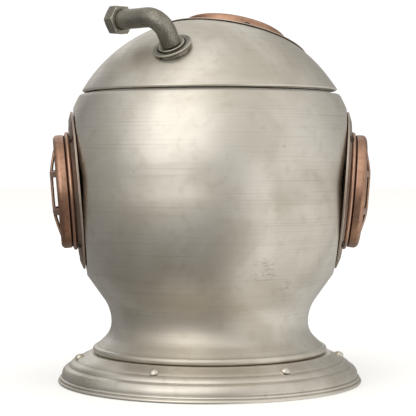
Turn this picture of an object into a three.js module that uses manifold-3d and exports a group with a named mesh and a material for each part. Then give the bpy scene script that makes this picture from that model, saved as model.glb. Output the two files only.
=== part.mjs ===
// Ice bucket in the shape of a diving helmet: a spun body on a stepped foot, three round windows
// with crossed guards, a loose domed lid with a fourth window and a bent pipe as its handle, and a
// removable liner. Millimetres, +Z up, the origin on the axis at the foot's lower face, the face
// window towards -Y.

import * as THREE from 'three';
import { mergeVertices } from 'three/addons/utils/BufferGeometryUtils.js';
import Module from 'manifold-3d';

const wasm = await Module();
wasm.setup();

// Clearances and smoothness
const GAP = 0.3;
const BODY_SEGMENTS = 40;
const WINDOW_SEGMENTS = 24;
const SCREW_SEGMENTS = 8;
const DEG = Math.PI / 180;

// Helmet: an upper and a lower sphere of one radius, with a short upright stretch between them
const DOME_RADIUS = 92.2;
const UPPER_CENTRE = 134.1;
const LOWER_CENTRE = 118.1;
const WALL = 1.9;
const MOUTH_HEIGHT = 178.6;
const NECK_RADIUS = 61.5;
const NECK_HEIGHT = 37.5;
const NECK_UPPER_ARC = 25;
const NECK_LOWER_ARC = 14;
const SHOULDER_ANGLE = 34.6;
const BEAD_RADIUS = 2.1;
const BEAD_CIRCLE = 70.9;
const BEAD_HEIGHT = 20.7;
const BEAD_HEM = 3.2;

// Foot
const FOOT_RADIUS = 94.7;
const FOOT_BORE = 67.4;
const FOOT_TOP = 18.3;
const TORUS_CIRCLE = 86.4;
const TORUS_HEIGHT = 5.0;
const TORUS_RADIUS = 5.9;
const ROLL_CIRCLE = 82.9;
const ROLL_HEIGHT = 8.4;
const ROLL_RADIUS = 5.4;
const SHELF_OUTER = 82.4;
const SHELF_LOW = 15.0;
const SHELF_INNER = 77.2;
const SHELF_HIGH = 17.4;
const CAVITY_RADIUS = 90.6;
const PLATE_RADIUS = 89.6;
const PLATE_LOW = 1.7;
const PLATE_TOP = 2.9;
const PAD_RADIUS = 88.6;
const PAD_THICKNESS = 1.4;
const RIVET_CIRCLE = 81.6;
const RIVET_HEIGHT = 15.7;
const RIVET_RADIUS = 2.9;
const RIVET_CROWN = 0.62;
const RIVET_AZIMUTHS = [64.8, 4, -57, -118, -179, 120.9];

// Mouth, liner and lid seat
const COLLAR_OUTER = 78.0;
const COLLAR_FOOT = 168;
const COLLAR_WALL = 1.8;
const LIP_INNER = 72.4;
const LIP_TOP = 178.0;
const LINER_FLANGE = 75.2;
const LINER_MOUTH = 71.6;
const LINER_WALL = 2.0;
const LINER_RIM = 1.7;
const LINER_FLOOR = 66;
const LINER_CORNER = 12;
const LINER_CORNER_CIRCLE = 54;
const LINER_FLAT = 52;
const SPIGOT_RADIUS = 68.2;
const SPIGOT_DEPTH = 9;
const SPIGOT_WALL = 2.6;
const RING_FLANGE = 75.6;
const RING_THICKNESS = 1.6;
const RING_STEP_OUTER = 74.4;
const RING_STEP_INNER = 72.4;
const RING_STEP_HEIGHT = 3.4;
const LID_EDGE = 180.2;
const LID_TURN = -38;

// Windows: places of their seats, measured from the helmet's axis or from the lid's centre
const SIDE_AZIMUTH = 94;
const SIDE_TILT = 4.6;
const SIDE_SEAT = 81;
const SIDE_HEIGHT = 119.3;
const TOP_POLAR = 18;
const TOP_SEAT = 78.8;

const SIDE_WINDOW = {
  collarRadius: 48.8,
  collarEdge: 1.5,
  hubRadius: 38.6,
  hubHeight: 3.8,
  collarBore: 26.5,
  beadRadius: 36.6,
  beadHeight: 2.6,
  bezelRadius: 35.1,
  bezelTop: 14.0,
  bezelBore: 31.4,
  edgeRound: 3.0,
  paneThickness: 2.4,
  guardRing: 2.6,
  guardFoot: 12.0,
  guardTop: 17.6,
  barOffset: 11.4,
  barWidth: 4.2,
  barThickness: 1.9,
  screwCircle: 44.9,
  screwRadius: 2.2,
};

const TOP_WINDOW = {
  ...SIDE_WINDOW,
  collarRadius: 48.4,
  collarEdge: 0.9,
  hubRadius: 37.2,
  hubHeight: 2.5,
  beadRadius: 35.2,
  beadHeight: 1.5,
  bezelRadius: 33.6,
  bezelTop: 10.8,
  bezelBore: 29.8,
  edgeRound: 2.2,
  paneThickness: 1.8,
  guardRing: 2.2,
  guardFoot: 8.6,
  guardTop: 13.6,
  barOffset: 10.8,
  barWidth: 3.9,
  barThickness: 1.7,
  screwCircle: 44.6,
  screwRadius: 2.0,
};

// A collar's knee, as shares of its width and of its rise; the grooves at a bezel's foot
const KNEE_RUN = 0.5;
const KNEE_RISE = 0.82;
const COLLAR_CHAMFER = 4;
const COLLAR_LIP = 0.5;
const GROOVE_DEPTH = 0.6;
const GROOVE_HEIGHT = 1.0;
const SCREW_CROWN = 0.75;

// Elbow on the lid
const ELBOW_POLAR = 40.8;
const ELBOW_AZIMUTH = 104.8;
const ELBOW_LEAN_POLAR = 35.4;
const ELBOW_LEAN_AZIMUTH = 93.9;
const ELBOW_FLANGE_RADIUS = 12.2;
const ELBOW_FLANGE_TOP = 1.7;
const ELBOW_FLANGE_DISC = 1.3;
const ELBOW_FLANGE_DEPTH = 4;
const ELBOW_PLINTH_INSET = 1.2;
const ELBOW_BOSS_RADIUS = 7.8;
const ELBOW_BOSS_HEIGHT = 2.4;
const PIPE_RADIUS = 5.9;
const PIPE_AXIS_HEIGHT = 221.5;
const PIPE_HEADING = -9;
const PIPE_BEND = 10;
const PIPE_REACH = 33;
const PIPE_SIDES = 12;
const PIPE_BORE = 3.6;
const PIPE_BORE_DEPTH = 12;
const PIPE_RECESS = 1.2;
const STUD_RADIUS = 3;
const STUD_DEPTH = 12;
const STUD_HOLE = 3.5;
const WASHER_DROP = 3.2;
const WASHER_RADIUS = 7.5;
const WASHER_THICKNESS = 1.2;
const INNER_NUT_FLATS = 10;
const INNER_NUT_LENGTH = 5;
const NUT_FLATS = 16.1;
const NUT_LENGTH = 7;
const NUT_CHAMFER = 0.6;

// Finishes
const pewter = { color: 0xa59e8f, roughness: 0.38, metalness: 1 };
const innerRing = { color: 0xb9b5aa, roughness: 0.45, metalness: 1 };
const collarMetal = { color: 0x8a7763, roughness: 0.45, metalness: 1 };
const copper = { color: 0xa5735a, roughness: 0.32, metalness: 1 };
const darkCast = { color: 0x5f5b54, roughness: 0.55, metalness: 0.9 };
const darkScrew = { color: 0x3a322c, roughness: 0.5, metalness: 0.9 };
const glass = { color: 0xcfd8d6, roughness: 0.08, metalness: 0, transparent: true, opacity: 0.4 };
const plastic = { color: 0xdedcd4, roughness: 0.4, metalness: 0 };
const felt = { color: 0x2f302e, roughness: 0.95, metalness: 0 };

// ---- Shape helpers ----

// Points on a circle about (r, z), as [r, z] pairs, angles in degrees from the +r direction.
function arc(r, z, radius, from, to, steps) {
  const points = [];
  for (let i = 0; i <= steps; i += 1) {
    const angle = (from + (to - from) * i / steps) * DEG;
    points.push([r + radius * Math.cos(angle), z + radius * Math.sin(angle)]);
  }
  return points;
}

function signedVolume(geometry) {
  const position = geometry.attributes.position;
  const index = geometry.index;
  const corners = [new THREE.Vector3(), new THREE.Vector3(), new THREE.Vector3()];
  let volume = 0;
  for (let i = 0; i < index.count; i += 3) {
    corners.forEach((corner, k) => corner.fromBufferAttribute(position, index.getX(i + k)));
    volume += corners[0].dot(corners[1].cross(corners[2])) / 6;
  }
  return volume;
}

// A position-only copy with shared corners, no collapsed triangles and its faces pointing out.
function welded(geometry) {
  const bare = geometry.clone();
  bare.deleteAttribute('normal');
  bare.deleteAttribute('uv');
  const merged = mergeVertices(bare, 1e-4);
  const source = merged.index.array;
  const kept = [];
  for (let i = 0; i < source.length; i += 3) {
    const [a, b, c] = [source[i], source[i + 1], source[i + 2]];
    if (a !== b && b !== c && c !== a) {
      kept.push(a, b, c);
    }
  }
  merged.setIndex(kept);
  if (signedVolume(merged) < 0) {
    merged.setIndex(kept.reverse());
  }
  return merged;
}

function solid(geometry) {
  const mesh = welded(geometry);
  return new wasm.Manifold(new wasm.Mesh({
    numProp: 3,
    vertProperties: new Float32Array(mesh.attributes.position.array),
    triVerts: new Uint32Array(mesh.index.array),
  }));
}

function fromSolid(manifold) {
  const mesh = manifold.getMesh();
  const geometry = new THREE.BufferGeometry();
  geometry.setAttribute('position', new THREE.BufferAttribute(mesh.vertProperties, 3));
  geometry.setIndex(new THREE.BufferAttribute(mesh.triVerts, 1));
  return geometry;
}

function subtract(geometry, tools) {
  return fromSolid(tools.reduce((body, tool) => body.subtract(solid(tool)), solid(geometry)));
}

function unite(geometries) {
  return fromSolid(geometries.slice(1).reduce((body, more) => body.add(solid(more)), solid(geometries[0])));
}

// A ring turned about Z from a closed section, or a full body whose section starts and ends on
// the axis.
function turned(section, segments) {
  const onAxis = section[0][0] === 0 && section[section.length - 1][0] === 0;
  const closed = onAxis ? section : [...section, section[0]];
  const profile = closed.map(([r, z]) => new THREE.Vector2(r, z));
  const geometry = new THREE.LatheGeometry(profile, segments);
  geometry.rotateX(Math.PI / 2);
  return welded(geometry);
}

// A cylinder along Z from z0 to z1.
function rod(radius, z0, z1, segments) {
  return turned([[0, z0], [radius, z0], [radius, z1], [0, z1]], segments);
}

// Turns a geometry so that its +Z follows a direction and its origin lands on a point.
function placeAlong(geometry, direction, point) {
  const turn = new THREE.Quaternion().setFromUnitVectors(new THREE.Vector3(0, 0, 1), direction);
  return geometry.clone().applyQuaternion(turn).translate(point.x, point.y, point.z);
}

function piece(name, geometry, finish) {
  const mesh = new THREE.Mesh(geometry, new THREE.MeshStandardMaterial(finish));
  mesh.name = name;
  return mesh;
}

function polar(azimuth, elevation) {
  const flat = Math.cos(elevation * DEG);
  return new THREE.Vector3(
    flat * Math.cos(azimuth * DEG),
    flat * Math.sin(azimuth * DEG),
    Math.sin(elevation * DEG),
  );
}

// A half space beyond a seat: a block whose lower face passes through the seat.
function halfSpace(direction, point) {
  const size = 140;
  const block = new THREE.BoxGeometry(size, size, size).translate(0, 0, size / 2);
  return placeAlong(block, direction, point);
}

// ---- Body ----

// The helmet's outline from the neck's lower end up to the mouth, moved inwards by an offset, with
// its two long arcs in a number of steps.
function helmetOutline(offset, steps) {
  const slope = SHOULDER_ANGLE;
  const lower = arc(
    NECK_RADIUS + NECK_LOWER_ARC, NECK_HEIGHT, NECK_LOWER_ARC + offset, 226, 180, 3,
  );
  const upper = arc(
    NECK_RADIUS + NECK_UPPER_ARC, NECK_HEIGHT, NECK_UPPER_ARC + offset, 180 - slope / 2, 180 - slope, 1,
  );
  const bowl = arc(0, LOWER_CENTRE, DOME_RADIUS - offset, -slope, 0, steps);
  const mouth = Math.asin((MOUTH_HEIGHT - UPPER_CENTRE) / (DOME_RADIUS - offset)) / DEG;
  const crown = arc(0, UPPER_CENTRE, DOME_RADIUS - offset, 0, mouth, steps);
  return [...lower, ...upper, ...bowl, ...crown];
}

function bodyGeometry(seats) {
  const bead = arc(BEAD_CIRCLE, BEAD_HEIGHT, BEAD_RADIUS, -90, 96, 4);
  const inside = helmetOutline(WALL, 2).reverse();
  const foot = [[BEAD_CIRCLE - BEAD_HEM, BEAD_HEIGHT - BEAD_RADIUS]];
  const section = [...bead, ...helmetOutline(0, 4), ...inside, ...foot];
  const shell = turned(section, BODY_SEGMENTS);
  return subtract(shell, seats.map((seat) => halfSpace(seat.direction, seat.cutPoint)));
}

function rimCollarGeometry() {
  const inner = COLLAR_OUTER - COLLAR_WALL;
  return turned([
    [COLLAR_OUTER, COLLAR_FOOT],
    [COLLAR_OUTER, LIP_TOP],
    [LIP_INNER, LIP_TOP],
    [LIP_INNER, LIP_TOP - COLLAR_WALL],
    [inner, LIP_TOP - COLLAR_WALL],
    [inner, COLLAR_FOOT],
  ], BODY_SEGMENTS);
}

// ---- Foot ----

// The lip, a torus, a smaller roll above it and the sloping shelf that holds the rivets.
function footGeometry() {
  const outside = [
    [FOOT_RADIUS - 0.6, 0],
    [FOOT_RADIUS, 0.9],
    [FOOT_RADIUS - 0.5, 2.3],
    [FOOT_RADIUS - 1.7, 3.9],
    ...arc(TORUS_CIRCLE, TORUS_HEIGHT, TORUS_RADIUS, 0, 50, 2),
    ...arc(ROLL_CIRCLE, ROLL_HEIGHT, ROLL_RADIUS, 30, 84, 2),
    [SHELF_OUTER, SHELF_LOW],
    [SHELF_INNER, SHELF_HIGH],
    [SHELF_INNER - 1.6, FOOT_TOP],
    [FOOT_BORE, FOOT_TOP],
  ];
  const inside = [
    [FOOT_BORE, FOOT_TOP - 2.1],
    [SHELF_OUTER - 1, SHELF_LOW - 2.2],
    [TORUS_CIRCLE, 8],
    [CAVITY_RADIUS - 0.2, 3.4],
    [CAVITY_RADIUS, 0],
  ];
  return turned([...outside, ...inside], BODY_SEGMENTS);
}

function rivetGeometry() {
  const head = arc(0, 0, RIVET_RADIUS, 0, 90, 2).map(([r, z]) => [r, z * RIVET_CROWN]);
  head[head.length - 1][0] = 0;
  return turned([[0, 0], ...head], SCREW_SEGMENTS);
}

function foot() {
  const group = new THREE.Group();
  group.add(piece('base_ring', footGeometry(), pewter));
  const fall = Math.atan2(SHELF_HIGH - SHELF_LOW, SHELF_OUTER - SHELF_INNER) / DEG;
  RIVET_AZIMUTHS.forEach((azimuth, i) => {
    const place = new THREE.Vector3(RIVET_CIRCLE, 0, RIVET_HEIGHT);
    const head = placeAlong(rivetGeometry(), polar(0, 90 - fall), place);
    const spoke = new THREE.Group();
    spoke.rotation.z = azimuth * DEG;
    spoke.add(piece(`base_rivet_${i + 1}`, head, pewter));
    group.add(spoke);
  });
  const plate = rod(PLATE_RADIUS, PLATE_LOW, PLATE_TOP, BODY_SEGMENTS);
  group.add(piece('bottom_plate', plate, innerRing));
  group.add(piece('foot_pad', rod(PAD_RADIUS, 0, PAD_THICKNESS, BODY_SEGMENTS), felt));
  return group;
}

// ---- Windows ----

function collarGeometry(spec) {
  const lift = spec.hubHeight - spec.collarEdge;
  const run = spec.collarRadius - spec.hubRadius;
  const section = [
    [spec.collarBore, 0],
    [spec.collarRadius - COLLAR_CHAMFER, 0],
    [spec.collarRadius, COLLAR_LIP],
    [spec.collarRadius, spec.collarEdge],
    [spec.collarRadius - KNEE_RUN * run, spec.collarEdge + KNEE_RISE * lift],
    [spec.hubRadius, spec.hubHeight],
    [spec.collarBore, spec.hubHeight],
  ];
  return turned(section, WINDOW_SEGMENTS);
}

function bezelGeometry(spec) {
  const foot = spec.hubHeight + GAP;
  const round = spec.edgeRound;
  const section = [
    [spec.bezelBore, foot],
    [spec.beadRadius, foot],
    [spec.beadRadius, foot + spec.beadHeight],
    [spec.bezelRadius - GROOVE_DEPTH, foot + spec.beadHeight],
    [spec.bezelRadius - GROOVE_DEPTH, foot + spec.beadHeight + GROOVE_HEIGHT],
    [spec.bezelRadius, foot + spec.beadHeight + GROOVE_HEIGHT + 0.2],
    ...arc(spec.bezelRadius - round, spec.bezelTop - round, round, 0, 90, 2),
    [spec.bezelBore, spec.bezelTop - 0.3],
  ];
  return turned(section, WINDOW_SEGMENTS);
}

// One bar of the guard: level in the middle, with both ends sloping down to the ring.
function barGeometry(spec, offset) {
  const ring = spec.bezelBore - GAP - spec.guardRing / 2;
  const reach = Math.sqrt(ring * ring - spec.barOffset * spec.barOffset);
  const level = spec.barOffset + spec.barWidth / 2;
  const top = spec.guardTop;
  const low = spec.guardFoot + spec.barThickness;
  const outline = [
    [-reach, low],
    [-level, top],
    [level, top],
    [reach, low],
    [reach, low - spec.barThickness],
    [level, top - spec.barThickness],
    [-level, top - spec.barThickness],
    [-reach, low - spec.barThickness],
  ];
  const shape = new THREE.Shape(outline.map(([x, y]) => new THREE.Vector2(x, y)));
  const bar = new THREE.ExtrudeGeometry(shape, { depth: spec.barWidth, bevelEnabled: false });
  bar.translate(0, 0, offset - spec.barWidth / 2);
  return bar.rotateX(Math.PI / 2);
}

function guardGeometry(spec) {
  const outer = spec.bezelBore - GAP;
  const inner = outer - spec.guardRing;
  const top = spec.guardFoot + spec.barThickness;
  const base = spec.hubHeight + 2 * GAP + spec.paneThickness;
  const ring = turned([[inner, base], [outer, base], [outer, top], [inner, top]], WINDOW_SEGMENTS);
  const bars = [];
  for (const offset of [-spec.barOffset, spec.barOffset]) {
    bars.push(barGeometry(spec, offset));
    bars.push(barGeometry(spec, offset).rotateZ(Math.PI / 2));
  }
  return unite([ring, ...bars]);
}

function paneGeometry(spec) {
  const radius = spec.bezelBore - GAP;
  const base = spec.hubHeight + GAP;
  return rod(radius, base, base + spec.paneThickness, WINDOW_SEGMENTS);
}

function screwGeometry(spec) {
  const head = arc(0, 0, spec.screwRadius, 0, 90, 2).map(([r, z]) => [r, z * SCREW_CROWN]);
  head[head.length - 1][0] = 0;
  return turned([[0, 0], ...head], SCREW_SEGMENTS);
}

function windowGroup(name, spec) {
  const group = new THREE.Group();
  group.add(piece(`${name}_collar`, collarGeometry(spec), collarMetal));
  group.add(piece(`${name}_bezel`, bezelGeometry(spec), copper));
  group.add(piece(`${name}_pane`, paneGeometry(spec), glass));
  group.add(piece(`${name}_guard`, guardGeometry(spec), copper));
  const run = KNEE_RUN * (spec.collarRadius - spec.hubRadius);
  const rise = KNEE_RISE * (spec.hubHeight - spec.collarEdge);
  const slope = polar(0, 90 - Math.atan2(rise, run) / DEG);
  const height = spec.collarEdge + rise * (spec.collarRadius - spec.screwCircle) / run + GAP;
  for (let i = 0; i < 4; i += 1) {
    const place = new THREE.Vector3(spec.screwCircle, 0, height);
    const head = placeAlong(screwGeometry(spec), slope, place);
    const spoke = new THREE.Group();
    spoke.rotation.z = (45 + 90 * i) * DEG;
    spoke.add(piece(`${name}_screw_${i + 1}`, head, darkScrew));
    group.add(spoke);
  }
  return group;
}

// Stands a window group on its seat, with its own +Y as near to upright as its facing allows.
function seatWindow(group, seat) {
  const across = new THREE.Vector3(0, 0, 1).cross(seat.direction).normalize();
  const upright = seat.direction.clone().cross(across);
  group.quaternion.setFromRotationMatrix(new THREE.Matrix4().makeBasis(across, upright, seat.direction));
  group.position.copy(seat.point);
  return group;
}

function bodySeat(azimuth) {
  const direction = polar(azimuth, -SIDE_TILT);
  const flat = polar(azimuth, 0);
  const point = flat.multiplyScalar(SIDE_SEAT);
  point.z = SIDE_HEIGHT;
  return { direction, point, cutPoint: point.clone().addScaledVector(direction, -GAP) };
}

// ---- Liner ----

function linerGeometry() {
  const rimTop = LIP_TOP + GAP + LINER_RIM;
  const cornerHeight = LINER_FLOOR + LINER_CORNER;
  const outerCorner = arc(LINER_CORNER_CIRCLE, cornerHeight, LINER_CORNER, -75, -5, 2);
  const innerCorner = arc(LINER_CORNER_CIRCLE, cornerHeight, LINER_CORNER - LINER_WALL, -5, -75, 2);
  const outside = [
    [0, LINER_FLOOR],
    [LINER_FLAT, LINER_FLOOR],
    ...outerCorner,
    [LINER_MOUTH, LIP_TOP - 2],
    [LINER_MOUTH, LIP_TOP + GAP],
    [LINER_FLANGE, LIP_TOP + GAP],
    [LINER_FLANGE, rimTop],
  ];
  const inside = [
    [LINER_MOUTH - LINER_WALL, rimTop],
    ...innerCorner,
    [LINER_FLAT, LINER_FLOOR + LINER_WALL],
    [0, LINER_FLOOR + LINER_WALL],
  ];
  return turned([...outside, ...inside], BODY_SEGMENTS);
}

// ---- Lid ----

function lidRingGeometry() {
  const seat = LIP_TOP + GAP + LINER_RIM + GAP;
  const bore = SPIGOT_RADIUS - SPIGOT_WALL;
  return turned([
    [bore, seat - SPIGOT_DEPTH],
    [SPIGOT_RADIUS, seat - SPIGOT_DEPTH],
    [SPIGOT_RADIUS, seat],
    [RING_FLANGE, seat],
    [RING_FLANGE, seat + RING_THICKNESS],
    [RING_STEP_OUTER, seat + RING_STEP_HEIGHT],
    [RING_STEP_INNER, seat + RING_STEP_HEIGHT],
    [RING_STEP_INNER, seat + RING_THICKNESS],
    [bore, seat + RING_THICKNESS],
  ], BODY_SEGMENTS);
}

function lidDomeGeometry(seat, elbow) {
  const inner = DOME_RADIUS - WALL;
  const low = Math.asin((LID_EDGE - UPPER_CENTRE) / DOME_RADIUS) / DEG;
  const lowInner = Math.asin((LID_EDGE - UPPER_CENTRE) / inner) / DEG;
  const outside = arc(0, UPPER_CENTRE, DOME_RADIUS, low, 90, 6);
  const inside = arc(0, UPPER_CENTRE, inner, 90, lowInner, 5);
  outside[outside.length - 1][0] = 0;
  inside[0][0] = 0;
  const section = [...inside, ...outside];
  const dome = turned(section, BODY_SEGMENTS);
  const hole = placeAlong(rod(STUD_HOLE, -6, 6, 12), elbow.normal, elbow.foot);
  return subtract(dome, [halfSpace(seat.direction, seat.cutPoint), hole]);
}

// The elbow's foot on the dome, and the two straight lines that its centre line follows. It stands
// more upright than the dome's own normal.
function elbowLayout() {
  const normal = polar(ELBOW_LEAN_AZIMUTH, 90 - ELBOW_LEAN_POLAR);
  const centre = new THREE.Vector3(0, 0, UPPER_CENTRE);
  const outward = polar(ELBOW_AZIMUTH, 90 - ELBOW_POLAR);
  const foot = centre.clone().addScaledVector(outward, DOME_RADIUS + GAP);
  const heading = polar(PIPE_HEADING, 0);
  const corner = foot.clone().addScaledVector(normal, (PIPE_AXIS_HEIGHT - foot.z) / normal.z);
  return { normal, foot, heading, corner };
}

class BentLine extends THREE.Curve {
  constructor(start, corner, end, radius) {
    super();
    const inward = corner.clone().sub(start).normalize();
    const onward = end.clone().sub(corner).normalize();
    const half = inward.angleTo(onward) / 2;
    const tangent = radius * Math.tan(half);
    this.entry = corner.clone().addScaledVector(inward, -tangent);
    this.start = start;
    this.end = end;
    this.inward = inward;
    this.radius = radius;
    this.sweep = 2 * half;
    this.exit = corner.clone().addScaledVector(onward, tangent);
    this.side = onward.clone().addScaledVector(inward, -onward.dot(inward)).normalize();
    this.lengths = [
      start.distanceTo(this.entry),
      radius * this.sweep,
      this.exit.distanceTo(end),
    ];
    this.total = this.lengths.reduce((sum, length) => sum + length, 0);
  }

  getPoint(t, target = new THREE.Vector3()) {
    const travelled = t * this.total;
    if (travelled <= this.lengths[0]) {
      return target.copy(this.start).lerp(this.entry, travelled / this.lengths[0]);
    }
    const past = travelled - this.lengths[0];
    if (past <= this.lengths[1]) {
      const angle = past / this.radius;
      return target.copy(this.entry)
        .addScaledVector(this.inward, this.radius * Math.sin(angle))
        .addScaledVector(this.side, this.radius * (1 - Math.cos(angle)));
    }
    const rest = past - this.lengths[1];
    return target.copy(this.exit).lerp(this.end, rest / this.lengths[2]);
  }
}

function circleShape(radius, sides) {
  const points = [];
  for (let i = 0; i < sides; i += 1) {
    const angle = 2 * Math.PI * i / sides;
    points.push(new THREE.Vector2(radius * Math.cos(angle), radius * Math.sin(angle)));
  }
  return new THREE.Shape(points);
}

function pipeGeometry(elbow) {
  const start = elbow.foot.clone().addScaledVector(elbow.normal, ELBOW_BOSS_HEIGHT + GAP);
  const length = PIPE_REACH + NUT_LENGTH - PIPE_RECESS;
  const end = elbow.corner.clone().addScaledVector(elbow.heading, length);
  const path = new BentLine(start, elbow.corner, end, PIPE_BEND);
  const pipe = new THREE.ExtrudeGeometry(circleShape(PIPE_RADIUS, PIPE_SIDES), {
    extrudePath: path,
    steps: 16,
    curveSegments: 1,
    bevelEnabled: false,
  });
  const stud = placeAlong(rod(STUD_RADIUS, -STUD_DEPTH, 5, 12), elbow.normal, elbow.foot);
  const bore = placeAlong(rod(PIPE_BORE, -PIPE_BORE_DEPTH, 1, 12), elbow.heading, end);
  return fromSolid(solid(pipe).add(solid(stud)).subtract(solid(bore)));
}

// The elbow's round foot: a thin disc on a narrower plinth, whose underside is shaped to sit on the
// dome.
function elbowFlangeGeometry({ normal, foot: seat }) {
  const plinth = ELBOW_FLANGE_RADIUS - ELBOW_PLINTH_INSET;
  const disc = turned([
    [STUD_HOLE, -ELBOW_FLANGE_DEPTH],
    [plinth, -ELBOW_FLANGE_DEPTH],
    [plinth, ELBOW_FLANGE_TOP - ELBOW_FLANGE_DISC],
    [ELBOW_FLANGE_RADIUS, ELBOW_FLANGE_TOP - ELBOW_FLANGE_DISC],
    [ELBOW_FLANGE_RADIUS, ELBOW_FLANGE_TOP - 0.5],
    [ELBOW_FLANGE_RADIUS - 0.5, ELBOW_FLANGE_TOP],
    [ELBOW_BOSS_RADIUS + 1, ELBOW_FLANGE_TOP],
    [ELBOW_BOSS_RADIUS, ELBOW_BOSS_HEIGHT],
    [STUD_HOLE, ELBOW_BOSS_HEIGHT],
  ], WINDOW_SEGMENTS);
  const under = new THREE.SphereGeometry(DOME_RADIUS + GAP, 64, 32).rotateX(Math.PI / 2);
  under.translate(0, 0, UPPER_CENTRE);
  return subtract(placeAlong(disc, normal, seat), [under]);
}

// A hexagonal nut along +Z from 0, with chamfered ends.
function nutGeometry(flats, length, bore) {
  const corner = flats / Math.sqrt(3);
  const face = flats / 2 - GAP;
  const prism = new THREE.ExtrudeGeometry(circleShape(corner, 6), { depth: length, bevelEnabled: false });
  const chamfer = turned([
    [0, 0],
    [face, 0],
    [corner, NUT_CHAMFER],
    [corner, length - NUT_CHAMFER],
    [face, length],
    [0, length],
  ], 18);
  const hole = rod(bore, -1, length + 1, 12);
  return fromSolid(solid(prism).intersect(solid(chamfer)).subtract(solid(hole)));
}

function elbow(layout) {
  const group = new THREE.Group();
  const { normal, foot: seat, heading, corner } = layout;
  group.add(piece('elbow_flange', elbowFlangeGeometry(layout), darkCast));
  group.add(piece('elbow_pipe', pipeGeometry(layout), darkCast));
  const nutStart = corner.clone().addScaledVector(heading, PIPE_REACH);
  const hexTurn = new THREE.Group();
  hexTurn.position.copy(nutStart);
  const across = new THREE.Vector3(0, 0, 1).cross(heading).normalize();
  hexTurn.quaternion.setFromRotationMatrix(
    new THREE.Matrix4().makeBasis(across, heading.clone().cross(across), heading),
  );
  hexTurn.add(piece('hex_nut', nutGeometry(NUT_FLATS, NUT_LENGTH, PIPE_RADIUS + GAP), darkCast));
  group.add(hexTurn);
  const inward = normal.clone().negate();
  const washer = turned([
    [STUD_HOLE, 0],
    [WASHER_RADIUS, 0],
    [WASHER_RADIUS, WASHER_THICKNESS],
    [STUD_HOLE, WASHER_THICKNESS],
  ], 16);
  const inside = seat.clone().addScaledVector(normal, -(WALL + WASHER_DROP));
  group.add(piece('elbow_washer', placeAlong(washer, inward, inside), innerRing));
  const nutSeat = inside.clone().addScaledVector(normal, -(WASHER_THICKNESS + GAP));
  const innerNut = nutGeometry(INNER_NUT_FLATS, INNER_NUT_LENGTH, STUD_RADIUS + GAP);
  group.add(piece('elbow_nut', placeAlong(innerNut, inward, nutSeat), innerRing));
  return group;
}

function lidSeat() {
  const direction = polar(-90, 90 - TOP_POLAR);
  const point = new THREE.Vector3(0, 0, UPPER_CENTRE).addScaledVector(direction, TOP_SEAT);
  return { direction, point, cutPoint: point.clone().addScaledVector(direction, -GAP) };
}

function lid() {
  const group = new THREE.Group();
  const seat = lidSeat();
  const layout = elbowLayout();
  group.add(piece('lid_dome', lidDomeGeometry(seat, layout), pewter));
  group.add(piece('lid_ring', lidRingGeometry(), innerRing));
  group.add(seatWindow(windowGroup('top', TOP_WINDOW), seat));
  group.add(elbow(layout));
  group.rotation.z = LID_TURN * DEG;
  return group;
}

// ---- Assembly ----

const bodySeats = {
  front: bodySeat(-90),
  left: bodySeat(-90 + SIDE_AZIMUTH),
  right: bodySeat(-90 - SIDE_AZIMUTH),
};

const bucket = new THREE.Group();
bucket.add(piece('body_shell', bodyGeometry(Object.values(bodySeats)), pewter));
bucket.add(piece('rim_collar', rimCollarGeometry(), innerRing));
bucket.add(foot());
for (const [side, seat] of Object.entries(bodySeats)) {
  bucket.add(seatWindow(windowGroup(side, SIDE_WINDOW), seat));
}
bucket.add(piece('liner', linerGeometry(), plastic));
bucket.add(lid());

export default bucket;
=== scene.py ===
"""Looks of the diving-helmet ice bucket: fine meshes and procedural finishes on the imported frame.

Sections are (radius, height) pairs in millimetres. They are turned about an axis, put in place
and scaled once to metres, when a mesh becomes a piece.
"""

import math

import bmesh
import bpy
import numpy as np
from mathutils import Matrix, Vector, noise


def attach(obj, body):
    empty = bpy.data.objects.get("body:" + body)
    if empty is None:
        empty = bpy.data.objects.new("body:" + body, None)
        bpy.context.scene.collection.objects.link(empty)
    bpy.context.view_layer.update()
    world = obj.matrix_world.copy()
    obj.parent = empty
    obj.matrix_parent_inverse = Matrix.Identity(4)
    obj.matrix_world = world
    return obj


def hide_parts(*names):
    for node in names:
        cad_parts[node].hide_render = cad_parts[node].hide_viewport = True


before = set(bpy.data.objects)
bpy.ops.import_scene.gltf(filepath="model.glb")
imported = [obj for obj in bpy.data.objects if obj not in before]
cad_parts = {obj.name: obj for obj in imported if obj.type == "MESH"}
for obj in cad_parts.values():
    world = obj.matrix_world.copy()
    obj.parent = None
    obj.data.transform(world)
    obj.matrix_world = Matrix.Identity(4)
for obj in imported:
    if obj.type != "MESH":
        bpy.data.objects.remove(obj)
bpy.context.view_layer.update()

# ---- Driving sizes, in millimetres ----

MM = 0.001
GAP = 0.3

DOME_RADIUS = 92.2
UPPER_CENTRE = 134.1
LOWER_CENTRE = 118.1
WALL = 1.9
MOUTH_HEIGHT = 178.6
NECK_RADIUS = 61.5
NECK_HEIGHT = 37.5
NECK_UPPER_ARC = 25
NECK_LOWER_ARC = 14
SHOULDER_ANGLE = 34.6
BEAD_RADIUS = 2.1
BEAD_CIRCLE = 70.9
BEAD_HEIGHT = 20.7
BEAD_HEM = 3.2

FOOT_RADIUS = 94.7
FOOT_BORE = 67.4
FOOT_TOP = 18.3
TORUS = (86.4, 5.0, 5.9)
ROLL = (82.9, 8.4, 5.4)
SHELF_OUTER = 82.4
SHELF_LOW = 15.0
SHELF_INNER = 77.2
SHELF_HIGH = 17.4
CAVITY_RADIUS = 90.6
PLATE_RADIUS = 89.6
PLATE_LOW = 1.7
PLATE_TOP = 2.9
PAD_RADIUS = 88.6
PAD_THICKNESS = 1.4
RIVET_CIRCLE = 81.6
RIVET_HEIGHT = 15.7
RIVET_RADIUS = 2.9
RIVET_CROWN = 0.62
RIVET_AZIMUTHS = (64.8, 4, -57, -118, -179, 120.9)

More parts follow.
